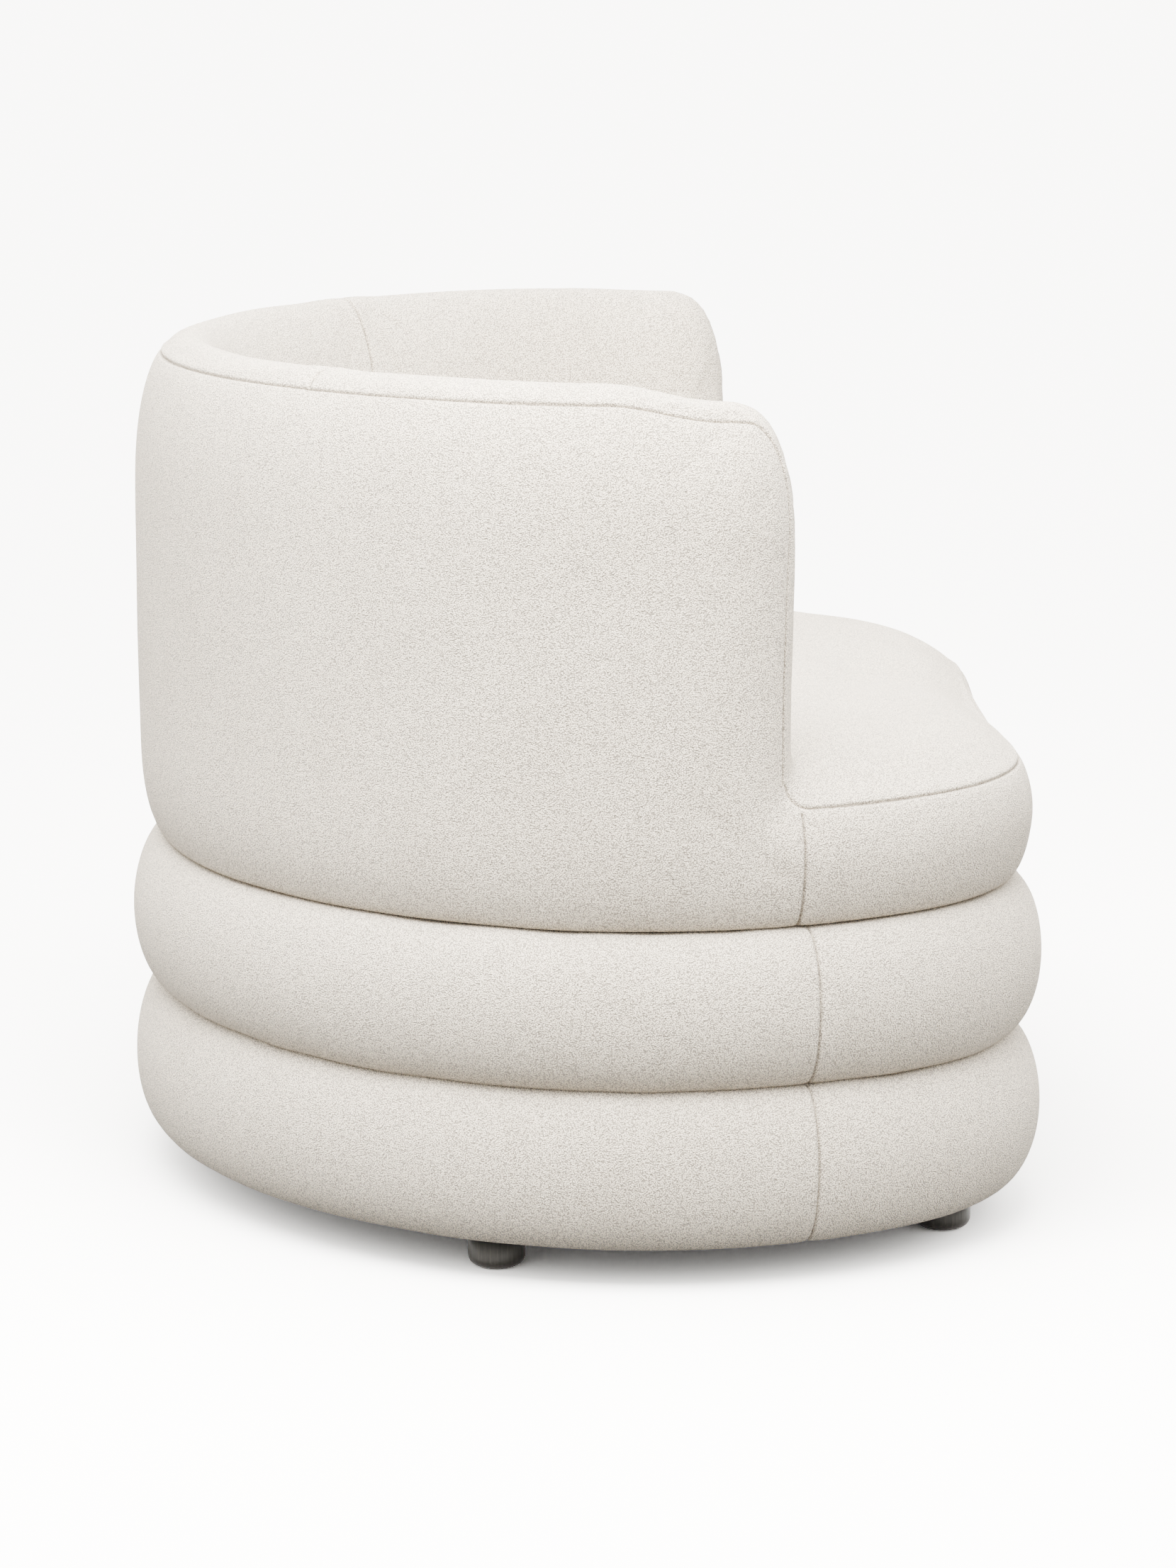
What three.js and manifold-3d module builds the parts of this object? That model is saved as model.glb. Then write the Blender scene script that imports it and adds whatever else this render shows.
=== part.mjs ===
// A round barrel-back armchair with a tight domed seat, two stuffed rolls round its base and five
// small round feet. Millimetres, +Z up. The front faces -Y and the origin is on the floor, under
// the middle of the chair's bounding box.
import * as THREE from 'three';
import { mergeVertices } from 'three/addons/utils/BufferGeometryUtils.js';
import Module from 'manifold-3d';

const wasm = await Module();
wasm.setup();

// ---- Driving dimensions -------------------------------------------------------------------------

// The plan outline, met at the creases between the rolls: three tangent arcs on each side, from the
// middle of the back (0 degrees) to the front (180 degrees), and a shallow hollow across the front.
const BACK_REACH = 388;
const ARCS = [
  { radius: 505, until: 60.8 },
  { radius: 367, until: 131.3 },
  { radius: 237, until: 184 },
];
const STEP_DEG = 12;
const HOLLOW_STEPS = 3;
const PANEL_SEAM = 110;

// Heights above the floor.
const BOTTOM_EDGE = 32;
const LOW_CREASE = 165;
const HIGH_CREASE = 297;
const SEAT_SEAM = 398;
const SHOULDER_START = 345;
const SEAT_RISE = 36;
const CROWN_REACH = 128;
const CROWN_POWER = 3.2;
const RIM_SPRING = 611;
const RIM_ROUND = 130;
const RIM_SEAM = 724;

// Places measured outwards (+) or inwards (-) from the plan outline.
const CREASE_DEPTH = -14;
const CREASE_ROUND = 80;
const ROLL_BULGE = 16;
const WALL_BULGE = 8;
const WALL_MIDDLE = -42;
const WALL_OUTER_HALF = 50;
const WALL_INNER_HALF = 46;
const WALL_FOOT_SPREAD = 16;
const WALL_FOOT_RISE = 190;
const RIM_SEAM_PLACE = -16;
const SEAT_SEAM_PLACE = -4;
const SHELL_FACE = -12;
const RAIL_FACE = -17.4;
const RIB_FACE = -19.6;
const RIB_BACK = -59;
const FRAME_EDGE = -27;
const FRAME_INNER_EDGE = -112;

// The arms end in elliptical noses.
const ARM_END = 98.5;
const ARM_NOSE = 57;
const NOSE_STEPS = 6;
const FOAM_END = ARM_END - 1.8;
const FRAME_END = ARM_END + 1.2;
const INNER_SEAM = 44;

const COVER = 3;
const GAP = 0.4;
const SEAM_HALF_DEG = 0.04;
const BOARD = 18;
const SHELL = 5;
const SKIRT = 4;

const FOOT_ANGLES = [0, 64.5, 153, -153, -64.5];
const FOOT_INSET = 54;
const FOOT_RADIUS = 24;
const FOOT_EDGE = 9;
const GLIDE_RADIUS = 13;
const GLIDE_HEIGHT = 3;
const BOLT_RADIUS = 4;
const BOLT_DEPTH = 20;
const NUT_RADIUS = 11;

const POST_ANGLES = [30, 88, 124, -124, -88, -30];
const RIB_ANGLES = [0, 35, 79, -79, -35];
const POST_WIDTH = 45;
const POST_FACE = -40;
const POST_BACK = -68;
const RIB_WIDTH = 22;

const BASE_BOTTOM = BOTTOM_EDGE + COVER + 1;
const BASE_TOP = BASE_BOTTOM + BOARD;
const SEAT_FRAME_BOTTOM = HIGH_CREASE - BOARD / 2;
const SEAT_FRAME_TOP = HIGH_CREASE + BOARD / 2;
const WEB = 1.8;
const WEB_WIDTH = 60;
const WEB_LENGTH = 1200;
const WEB_PLACES = [-170, 0, 170];
const FOAM_BOTTOM = SEAT_FRAME_TOP + 2 * WEB + 3 * GAP;
const RAIL_TOP = 708;
const RAIL_BOTTOM = RAIL_TOP - BOARD;
const SHELL_TOP = 700;

// ---- Materials ----------------------------------------------------------------------------------

function material(colour, roughness, metalness = 0) {
  return new THREE.MeshStandardMaterial({ color: colour, roughness, metalness });
}

const MATERIALS = {
  boucle: material(0xe9e5dd, 0.95),
  foam: material(0xe6dcae, 0.9),
  wadding: material(0xf1f1ee, 0.95),
  plywood: material(0xc9a571, 0.7),
  hardwood: material(0xb98d5a, 0.65),
  webbing: material(0x3c3a36, 0.85),
  lining: material(0x1f1f20, 0.9),
  stained_wood: material(0x47443d, 0.45),
  glide: material(0x2a2a2a, 0.6),
  steel: material(0xa8abad, 0.35, 1),
};

// ---- The plan outline ---------------------------------------------------------------------------

const RAD = Math.PI / 180;

// Each arc with its centre, worked out from the middle of the back forwards.
function tangentArcs() {
  let x = 0;
  let y = BACK_REACH;
  let from = 0;
  return ARCS.map(({ radius, until }) => {
    const centre = { x: x - radius * Math.sin(from * RAD), y: y - radius * Math.cos(from * RAD) };
    x = centre.x + radius * Math.sin(until * RAD);
    y = centre.y + radius * Math.cos(until * RAD);
    const arc = { radius, centre, from, until };
    from = until;
    return arc;
  });
}

const OUTLINE = tangentArcs();
const LAST = OUTLINE[OUTLINE.length - 1];

// A point of the outline where its outward normal has the given angle, moved out by offset. Angles
// are positive towards +X. The chair's origin is midway between the back and front rolls.
const FRONT_REACH = LAST.radius - LAST.centre.y;
const PLAN_SHIFT = (FRONT_REACH - BACK_REACH) / 2;

function outlinePoint(angle, offset) {
  const side = Math.sign(angle) || 1;
  const turn = Math.abs(angle);
  const arc = OUTLINE.find((a) => turn <= a.until) ?? LAST;
  const reach = arc.radius + offset;
  return {
    x: side * (arc.centre.x + reach * Math.sin(turn * RAD)),
    y: arc.centre.y + reach * Math.cos(turn * RAD) + PLAN_SHIFT,
  };
}

// The hollow across the front is an arc of its own, tangent to both front corners.
const HOLLOW_TURN = LAST.until - 180;
const HOLLOW_RADIUS = outlinePoint(LAST.until, 0).x / Math.sin(HOLLOW_TURN * RAD);

function hollowPoint(share, offset) {
  const turn = HOLLOW_TURN * share * RAD;
  const start = outlinePoint(LAST.until, 0);
  const centreY = start.y - HOLLOW_RADIUS * Math.cos(HOLLOW_TURN * RAD);
  const reach = HOLLOW_RADIUS - offset;
  return { x: reach * Math.sin(turn), y: centreY + reach * Math.cos(turn) };
}

// The angles that every piece shares, so that neighbours keep their gap along each facet.
const MARKS = [0, ARCS[0].until, FOAM_END, ARM_END, FRAME_END, PANEL_SEAM, ARCS[1].until, LAST.until];

function sharedAngles() {
  const half = [];
  for (let i = 1; i < MARKS.length; i += 1) {
    const span = MARKS[i] - MARKS[i - 1];
    const steps = Math.ceil(span / STEP_DEG);
    for (let k = 1; k <= steps; k += 1) {
      half.push(MARKS[i - 1] + (span * k) / steps);
    }
  }
  return [...half.map((angle) => -angle).reverse(), 0, ...half];
}

const SHARED_ANGLES = sharedAngles();

function anglesBetween(from, to) {
  return [from, ...SHARED_ANGLES.filter((angle) => angle > from + 0.5 && angle < to - 0.5), to];
}

// A station is a function from offset to a point in plan.
function arcStations(from, to) {
  return anglesBetween(from, to).map((angle) => (offset) => outlinePoint(angle, offset));
}

function hollowStations() {
  const stations = [];
  for (let k = 1; k < 2 * HOLLOW_STEPS; k += 1) {
    const share = 1 - k / HOLLOW_STEPS;
    stations.push((offset) => hollowPoint(share, offset));
  }
  return stations;
}

function loopStations() {
  return [...arcStations(-LAST.until, LAST.until), ...hollowStations()];
}

// From the right-hand panel seam round the front to the left-hand one.
function frontStations(start) {
  return [...arcStations(start, LAST.until), ...hollowStations(), ...arcStations(-LAST.until, -start)];
}

// ---- Solids -------------------------------------------------------------------------------------

// A closed geometry as a manifold solid, with its faces turned outwards.
function solid(geometry) {
  const plain = geometry.clone();
  plain.deleteAttribute('normal');
  plain.deleteAttribute('uv');
  const merged = mergeVertices(plain, 1e-4);
  const vertProperties = new Float32Array(merged.attributes.position.array);
  const triVerts = new Uint32Array(merged.index.array);
  if (signedVolume(vertProperties, triVerts) < 0) {
    triVerts.reverse();
  }
  return new wasm.Manifold(new wasm.Mesh({ numProp: 3, vertProperties, triVerts }));
}

function signedVolume(positions, indices) {
  const point = (i) => new THREE.Vector3().fromArray(positions, 3 * i);
  let volume = 0;
  for (let i = 0; i < indices.length; i += 3) {
    const normal = point(indices[i + 1]).cross(point(indices[i + 2]));
    volume += point(indices[i]).dot(normal);
  }
  return volume;
}

// Triangles over a flat outline, all turning the way the outline does.
function faceTriangles(outline) {
  const way = Math.sign(THREE.ShapeUtils.area(outline));
  return THREE.ShapeUtils.triangulateShape(outline, []).map(([a, b, c]) => {
    const turns = Math.sign(THREE.ShapeUtils.area([outline[a], outline[b], outline[c]]));
    return turns === way ? [a, b, c] : [a, c, b];
  });
}

// Rings of points, all with the same count, skinned into a solid. A closed one joins its last ring
// to its first; an open one is capped at both ends, whose flat outlines are given.
function skin(rings, closed, firstFace, lastFace) {
  const count = rings[0].length;
  const positions = rings.flat().flatMap((p) => [p.x, p.y, p.z]);
  const indices = [];
  const bands = closed ? rings.length : rings.length - 1;
  for (let i = 0; i < bands; i += 1) {
    const a = i * count;
    const b = ((i + 1) % rings.length) * count;
    for (let k = 0; k < count; k += 1) {
      const next = (k + 1) % count;
      indices.push(a + k, a + next, b + k, a + next, b + next, b + k);
    }
  }
  if (!closed) {
    const last = (rings.length - 1) * count;
    faceTriangles(firstFace).forEach(([a, b, c]) => indices.push(a, c, b));
    faceTriangles(lastFace).forEach(([a, b, c]) => indices.push(last + a, last + b, last + c));
  }
  const geometry = new THREE.BufferGeometry();
  geometry.setAttribute('position', new THREE.Float32BufferAttribute(positions, 3));
  geometry.setIndex(indices);
  return solid(geometry);
}

// A profile of [offset, height] points carried along stations of the plan.
function sweep(stations, profile, closed) {
  const rings = stations.map((at) => profile.map(([offset, z]) => ({ ...at(offset), z })));
  const face = profile.map(([offset, z]) => new THREE.Vector2(offset, z));
  return skin(rings, closed, face, face);
}

// Level outlines stacked upwards, with flat faces under the first and over the last.
function stack(levels) {
  const face = (level) => level.map((p) => new THREE.Vector2(p.x, p.y));
  return skin(levels, false, face(levels[0]), face(levels[levels.length - 1]));
}

function rectangle(inner, outer, z0, z1) {
  return [[inner, z0], [outer, z0], [outer, z1], [inner, z1]];
}

// The part of the plan between two angles, two offsets and two heights.
function sector(from, to, inner, outer, z0, z1) {
  return sweep(arcStations(from, to), rectangle(inner, outer, z0, z1), false);
}

function ring(inner, outer, z0, z1) {
  return sweep(loopStations(), rectangle(inner, outer, z0, z1), true);
}

// Everything inside the outline moved by an offset, between two heights.
function plate(offset, z0, z1) {
  return stack([z0, z1].map((z) => loopStations().map((at) => ({ ...at(offset), z }))));
}

function box(width, depth, z0, z1, x = 0, y = 0) {
  const geometry = new THREE.BoxGeometry(width, depth, z1 - z0);
  geometry.translate(x, y, (z0 + z1) / 2);
  return solid(geometry);
}

// Everything between two heights.
function slab(z0, z1) {
  return box(2000, 2000, z0, z1);
}

// A block standing on the plan at an angle. Its width runs along the outline and its middle is
// moved forwards, towards the front of the chair, by ahead.
function uprightBox(angle, inner, outer, width, z0, z1, ahead = 0) {
  const middle = outlinePoint(angle, (inner + outer) / 2);
  const geometry = new THREE.BoxGeometry(outer - inner, width, z1 - z0);
  geometry.translate(0, -ahead * Math.sign(angle), 0);
  geometry.rotateZ((90 - angle) * RAD);
  geometry.translate(middle.x, middle.y, (z0 + z1) / 2);
  return solid(geometry);
}

// A turned shape standing at a place, from a profile of [radius, height] that ends on the axis.
function turned(profile, centre, sides) {
  const geometry = new THREE.LatheGeometry(profile.map(([r, z]) => new THREE.Vector2(r, z)), sides);
  geometry.rotateX(Math.PI / 2);
  geometry.translate(centre.x, centre.y, 0);
  return solid(geometry);
}

// ---- Rolls --------------------------------------------------------------------------------------

const ROLL_STEPS = 6;

// The outside of a roll from its lower to its upper crease, inset by some thickness.
function rollCurve(bottom, top, inset) {
  const middle = (bottom + top) / 2;
  const half = (top - bottom) / 2 - inset;
  const depth = ROLL_BULGE - CREASE_DEPTH - inset;
  const points = [];
  for (let k = 0; k <= ROLL_STEPS; k += 1) {
    const turn = (k / ROLL_STEPS - 0.5) * Math.PI;
    points.push([CREASE_DEPTH + depth * Math.cos(turn), middle + half * Math.sin(turn)]);
  }
  return points;
}

// A roll's cover is a thin C, open towards the frame, with a lip at its bottom and top.
function rollCoverProfile(bottom, top, lowLip, highLip) {
  return [
    ...rollCurve(bottom, top, 0),
    [highLip, top],
    [highLip, top - COVER],
    ...rollCurve(bottom, top, COVER).reverse(),
    [lowLip, bottom + COVER],
    [lowLip, bottom],
  ];
}

function rollFoam(bottom, top) {
  const inset = COVER + GAP;
  const back = FRAME_EDGE + SKIRT + 2 * GAP;
  const profile = [...rollCurve(bottom, top, inset), [back, top - inset], [back, bottom + inset]];
  return sweep(loopStations(), profile, true);
}

// ---- The upper body -----------------------------------------------------------------------------

// How far out the upper body's side is, rounding out from the high crease.
function upperSide(z) {
  const share = THREE.MathUtils.clamp((z - HIGH_CREASE) / CREASE_ROUND, 0, 1);
  return CREASE_DEPTH + (WALL_BULGE - CREASE_DEPTH) * Math.sqrt(1 - (1 - share) ** 2);
}

// The wall (back and arms in one) at one height: its outside, an elliptical nose, its inside and the
// other nose. Above the spring of the rim the outline shrinks towards the wall's middle line.
function wallLevel(z, shrink, inset) {
  const spread = WALL_FOOT_SPREAD * THREE.MathUtils.clamp((RIM_SPRING - z) / WALL_FOOT_RISE, 0, 1);
  const outerHalf = Math.min(upperSide(z) - WALL_MIDDLE, WALL_OUTER_HALF) - inset;
  const outer = WALL_MIDDLE + outerHalf * shrink;
  const inner = WALL_MIDDLE - (WALL_INNER_HALF + spread - inset) * shrink;
  const nose = (ARM_NOSE - inset) * shrink;
  const forward = { x: Math.cos(ARM_END * RAD), y: -Math.sin(ARM_END * RAD) };
  const nosePoint = (side, turn) => {
    const across = (outer + inner) / 2 + ((outer - inner) / 2) * Math.cos(turn);
    const base = outlinePoint(side * ARM_END, across);
    const ahead = nose * Math.sin(turn);
    return { x: base.x + side * ahead * forward.x, y: base.y + ahead * forward.y };
  };
  const turns = [];
  for (let k = 1; k < NOSE_STEPS; k += 1) {
    turns.push((k / NOSE_STEPS) * Math.PI);
  }
  const stations = arcStations(-ARM_END, ARM_END);
  return [
    ...stations.map((at) => at(outer)),
    ...turns.map((turn) => nosePoint(1, turn)),
    ...stations.map((at) => at(inner)).reverse(),
    ...turns.map((turn) => nosePoint(-1, Math.PI - turn)),
  ].map((p) => ({ ...p, z }));
}

// The whole wall, with its rounded rim, inset by some thickness.
function wallBody(inset, bottom) {
  const heights = [bottom, HIGH_CREASE + 7, HIGH_CREASE + 25, HIGH_CREASE + 80];
  const turns = [0, 24, 44, 60, 73, 84];
  return stack([
    ...heights.map((z) => wallLevel(z, 1, inset)),
    ...turns.map((turn) => {
      const z = RIM_SPRING + (RIM_ROUND - inset) * Math.sin(turn * RAD);
      return wallLevel(z, Math.cos(turn * RAD), inset);
    }),
  ]);
}

// The seat between and in front of the arms, as one domed body. Its outline is the chair's own in
// front; beside and behind the sitter it ends inside the wall, which is then cut away.
function seatBody(inset, bottom) {
  const sides = [
    bottom, HIGH_CREASE + 7, HIGH_CREASE + 25,
    SHOULDER_START + 5, SEAT_SEAM - 26, SEAT_SEAM - 10, SEAT_SEAM,
  ];
  const crown = [8, 19, 36, 60, 90, 120];
  const shoulder = (z) => THREE.MathUtils.clamp((z - SHOULDER_START) / (SEAT_SEAM - SHOULDER_START), 0, 1);
  const levels = sides.map((z) => {
    const drop = (WALL_BULGE - SEAT_SEAM_PLACE) * shoulder(z) ** 2;
    return [upperSide(z) - drop - inset, z - inset * shoulder(z)];
  });
  crown.forEach((reach) => {
    const rise = SEAT_RISE * (1 - (1 - reach / CROWN_REACH) ** CROWN_POWER);
    levels.push([SEAT_SEAM_PLACE - reach - inset, SEAT_SEAM + rise - inset]);
  });
  const hidden = (WALL_MIDDLE + CREASE_DEPTH) / 2;
  const arms = arcStations(-ARM_END, ARM_END);
  return stack(levels.map(([offset, z]) => [
    ...arms.map((at) => at(Math.min(offset, hidden))),
    ...frontStations(ARM_END + 1).map((at) => at(offset)),
  ].map((p) => ({ ...p, z }))));
}

const FLOOR_OF_UPPER = HIGH_CREASE + GAP;
const BEYOND = 200;
const ABOVE = 800;
const PAST_ARMS = 130;

const wall = wallBody(0, FLOOR_OF_UPPER);
const wallSpace = wallBody(-GAP, FLOOR_OF_UPPER - 5);
const wallShell = wall.subtract(wallBody(COVER, FLOOR_OF_UPPER - 5));
const wallFilling = wallBody(COVER + GAP, FLOOR_OF_UPPER)
  .intersect(slab(FOAM_BOTTOM, RIM_SPRING + RIM_ROUND));
const outsideOfSeam = sector(-PAST_ARMS, PAST_ARMS, RIM_SEAM_PLACE, BEYOND, 0, RIM_SEAM);
const outsideOfSeamSpace = sector(-PAST_ARMS, PAST_ARMS, RIM_SEAM_PLACE - GAP, BEYOND, 0, RIM_SEAM + GAP);
const insideShell = wallShell.subtract(outsideOfSeamSpace).intersect(slab(FOAM_BOTTOM, ABOVE));

const seat = seatBody(0, FLOOR_OF_UPPER).subtract(wallSpace);
const seatShell = seat.subtract(seatBody(COVER, FLOOR_OF_UPPER - 5));
const seatFilling = seatBody(COVER + GAP, FLOOR_OF_UPPER).subtract(wallSpace);

// ---- The pieces ---------------------------------------------------------------------------------

const chair = new THREE.Group();

function add(name, finish, body) {
  const mesh = body.getMesh();
  const geometry = new THREE.BufferGeometry();
  geometry.setAttribute('position', new THREE.Float32BufferAttribute(mesh.vertProperties, 3));
  geometry.setIndex(Array.from(mesh.triVerts));
  geometry.computeVertexNormals();
  const piece = new THREE.Mesh(geometry, MATERIALS[finish].clone());
  piece.name = name;
  chair.add(piece);
}

function postAt(angle, z0, z1, spare) {
  const width = POST_WIDTH + 2 * spare;
  return uprightBox(angle, POST_BACK - spare, POST_FACE + spare, width, z0, z1);
}

function addLowerFrame() {
  let base = ring(FRAME_INNER_EDGE, FRAME_EDGE, BASE_BOTTOM, BASE_TOP);
  FOOT_ANGLES.forEach((angle) => {
    const hole = [[0, 0], [BOLT_RADIUS + GAP, 0], [BOLT_RADIUS + GAP, 100], [0, 100]];
    base = base.subtract(turned(hole, outlinePoint(angle, -FOOT_INSET), 10));
  });
  add('base_ring', 'plywood', base);

  let middle = ring(FRAME_INNER_EDGE, FRAME_EDGE, LOW_CREASE - BOARD / 2, LOW_CREASE + BOARD / 2);
  POST_ANGLES.forEach((angle, k) => {
    middle = middle.subtract(postAt(angle, 0, HIGH_CREASE, GAP));
    add(`post_${k + 1}`, 'hardwood', postAt(angle, BASE_TOP + GAP, SEAT_FRAME_BOTTOM - GAP, 0));
  });
  add('middle_ring', 'plywood', middle);
  add('seat_ring', 'plywood', ring(FRAME_INNER_EDGE, FRAME_EDGE, SEAT_FRAME_BOTTOM, SEAT_FRAME_TOP));
  const skirtFace = FRAME_EDGE + GAP + SKIRT;
  add('base_skirt', 'plywood', ring(FRAME_EDGE + GAP, skirtFace, BASE_BOTTOM, SEAT_FRAME_TOP));
}

function addBackFrame() {
  const foot = SEAT_FRAME_TOP + GAP;
  const head = RAIL_BOTTOM - GAP;
  const upright = (angle, width) => uprightBox(angle, RIB_BACK, RIB_FACE, width, foot, head);
  RIB_ANGLES.forEach((angle, k) => {
    add(`back_rib_${k + 1}`, 'hardwood', upright(angle, RIB_WIDTH));
  });
  [['right', ARM_END], ['left', -ARM_END]].forEach(([side, angle]) => {
    add(`arm_board_${side}`, 'plywood', upright(angle, BOARD));
  });
  add('top_rail', 'plywood', sector(-FRAME_END, FRAME_END, RIB_BACK, RAIL_FACE, RAIL_BOTTOM, RAIL_TOP));
  const shell = sector(-FRAME_END, FRAME_END, RAIL_FACE + GAP, SHELL_FACE, foot, SHELL_TOP);
  add('back_shell', 'plywood', shell);
}

function addWebbing() {
  const low = SEAT_FRAME_TOP + GAP;
  const high = low + WEB + GAP;
  const inner = plate(RIB_BACK - 3, low - 1, high + WEB + 1);
  WEB_PLACES.forEach((place, k) => {
    const long = box(WEB_WIDTH, WEB_LENGTH, low, low + WEB, place, 0);
    const cross = box(WEB_LENGTH, WEB_WIDTH, high, high + WEB, 0, place);
    add(`webbing_long_${k + 1}`, 'webbing', long.intersect(inner));
    add(`webbing_cross_${k + 1}`, 'webbing', cross.intersect(inner));
  });
}

function addWallFillings() {
  const board = BOARD / 2 + GAP;
  const past = board + BEYOND / 2;
  const nose = (angle) => uprightBox(angle, -BEYOND, BEYOND, BEYOND, FOAM_BOTTOM, RAIL_TOP, past);
  add('outer_wadding', 'wadding', wallFilling.intersect(
    sector(-FRAME_END, FRAME_END, SHELL_FACE + GAP, BEYOND, FOAM_BOTTOM, SHELL_TOP),
  ));
  add('inner_back_foam', 'foam', wallFilling.intersect(
    sector(-FOAM_END, FOAM_END, -BEYOND, RIB_BACK - GAP, FOAM_BOTTOM, RAIL_TOP),
  ));
  add('arm_nose_foam_right', 'foam', wallFilling.intersect(nose(ARM_END)));
  add('arm_nose_foam_left', 'foam', wallFilling.intersect(nose(-ARM_END)));
  add('rim_foam', 'foam', wallFilling.intersect(slab(RAIL_TOP + GAP, ABOVE)));
}

function addSeatFilling() {
  add('seat_foam', 'foam', seatFilling.intersect(slab(FOAM_BOTTOM, ABOVE)));
}

function addUpperCovers() {
  const panel = (from, to) => insideShell.intersect(sector(from, to, -BEYOND, BEYOND, 0, ABOVE));
  add('outer_back_cover', 'boucle', wallShell.intersect(outsideOfSeam));
  add('inner_back_cover_centre', 'boucle', panel(-INNER_SEAM + SEAM_HALF_DEG, INNER_SEAM - SEAM_HALF_DEG));
  add('inner_back_cover_right', 'boucle', panel(INNER_SEAM + SEAM_HALF_DEG, PAST_ARMS));
  add('inner_back_cover_left', 'boucle', panel(-PAST_ARMS, -INNER_SEAM - SEAM_HALF_DEG));
  add('seat_top_cover', 'boucle', seatShell.intersect(slab(SEAT_SEAM + GAP / 2, ABOVE)));
  add('seat_border_cover', 'boucle', seatShell.intersect(slab(0, SEAT_SEAM - GAP / 2)));
}

function addRoll(name, bottom, top, lowLip) {
  const profile = rollCoverProfile(bottom, top, lowLip, CREASE_DEPTH - 2 * COVER);
  add(`${name}_foam`, 'foam', rollFoam(bottom, top));
  const rear = arcStations(-PANEL_SEAM + SEAM_HALF_DEG, PANEL_SEAM - SEAM_HALF_DEG);
  const front = frontStations(PANEL_SEAM + SEAM_HALF_DEG);
  add(`${name}_cover_rear`, 'boucle', sweep(rear, profile, false));
  add(`${name}_cover_front`, 'boucle', sweep(front, profile, false));
}

// A foot is a short turned drum with a rounded lower edge, a recess for its glide and a hole for
// its bolt, which hangs from a flange on top of the base ring.
function footProfile() {
  const foot = 1;
  const top = BASE_BOTTOM - GAP;
  const recess = GLIDE_HEIGHT + GAP;
  const profile = [[0, recess], [GLIDE_RADIUS + GAP, recess], [GLIDE_RADIUS + GAP, foot]];
  for (let k = 0; k <= 3; k += 1) {
    const turn = (k / 3) * 90 * RAD;
    profile.push([
      FOOT_RADIUS - FOOT_EDGE + FOOT_EDGE * Math.sin(turn),
      foot + FOOT_EDGE - FOOT_EDGE * Math.cos(turn),
    ]);
  }
  const hole = top - BOLT_DEPTH;
  return [...profile, [FOOT_RADIUS, top], [BOLT_RADIUS + GAP, top], [BOLT_RADIUS + GAP, hole], [0, hole]];
}

function boltProfile() {
  const end = BASE_BOTTOM - BOLT_DEPTH + 1;
  const flange = BASE_TOP + GAP;
  return [
    [0, end], [BOLT_RADIUS, end], [BOLT_RADIUS, flange], [NUT_RADIUS, flange],
    [NUT_RADIUS, flange + 2], [BOLT_RADIUS + 2, flange + 2], [BOLT_RADIUS + 2, flange + 6], [0, flange + 6],
  ];
}

function addUnderside() {
  const glideProfile = [[0, 0], [GLIDE_RADIUS, 0], [GLIDE_RADIUS, GLIDE_HEIGHT], [0, GLIDE_HEIGHT]];
  let lining = plate(FRAME_EDGE - 7, BASE_BOTTOM - 1.6, BASE_BOTTOM - GAP);
  FOOT_ANGLES.forEach((angle, k) => {
    const centre = outlinePoint(angle, -FOOT_INSET);
    const opening = FOOT_RADIUS + GAP;
    lining = lining.subtract(turned([[0, 0], [opening, 0], [opening, 100], [0, 100]], centre, 20));
    add(`foot_${k + 1}`, 'stained_wood', turned(footProfile(), centre, 20));
    add(`glide_${k + 1}`, 'glide', turned(glideProfile, centre, 16));
    add(`foot_bolt_${k + 1}`, 'steel', turned(boltProfile(), centre, 12));
  });
  add('dust_cover', 'lining', lining);
}

addLowerFrame();
addBackFrame();
addWebbing();
addWallFillings();
addSeatFilling();
addUpperCovers();
addRoll('middle_roll', LOW_CREASE + GAP, HIGH_CREASE - GAP, CREASE_DEPTH - 2 * COVER);
addRoll('bottom_roll', BOTTOM_EDGE, LOW_CREASE - GAP, FRAME_EDGE + 2);
addUnderside();

export default chair;
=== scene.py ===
"""A round barrel-back armchair in off-white boucle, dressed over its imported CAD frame."""
import math

import bmesh
import bpy
import numpy as np
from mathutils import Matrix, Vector, noise
from mathutils.bvhtree import BVHTree
from mathutils.kdtree import KDTree


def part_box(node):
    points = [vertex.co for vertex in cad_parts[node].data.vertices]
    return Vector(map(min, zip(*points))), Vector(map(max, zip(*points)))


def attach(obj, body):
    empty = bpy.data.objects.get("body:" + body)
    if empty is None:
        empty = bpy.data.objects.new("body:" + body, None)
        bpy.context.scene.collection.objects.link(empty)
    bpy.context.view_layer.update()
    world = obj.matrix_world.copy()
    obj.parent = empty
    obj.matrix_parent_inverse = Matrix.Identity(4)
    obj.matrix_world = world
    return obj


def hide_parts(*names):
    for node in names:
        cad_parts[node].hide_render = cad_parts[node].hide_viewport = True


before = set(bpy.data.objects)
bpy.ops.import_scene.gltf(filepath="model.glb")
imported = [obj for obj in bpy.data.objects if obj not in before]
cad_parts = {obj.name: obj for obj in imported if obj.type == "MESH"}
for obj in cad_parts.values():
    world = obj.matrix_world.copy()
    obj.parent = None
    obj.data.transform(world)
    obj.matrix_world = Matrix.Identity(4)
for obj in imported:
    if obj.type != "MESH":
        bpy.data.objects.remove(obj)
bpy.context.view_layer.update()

# ---- Driving dimensions, in metres and degrees ----------------------------------------------------

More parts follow.
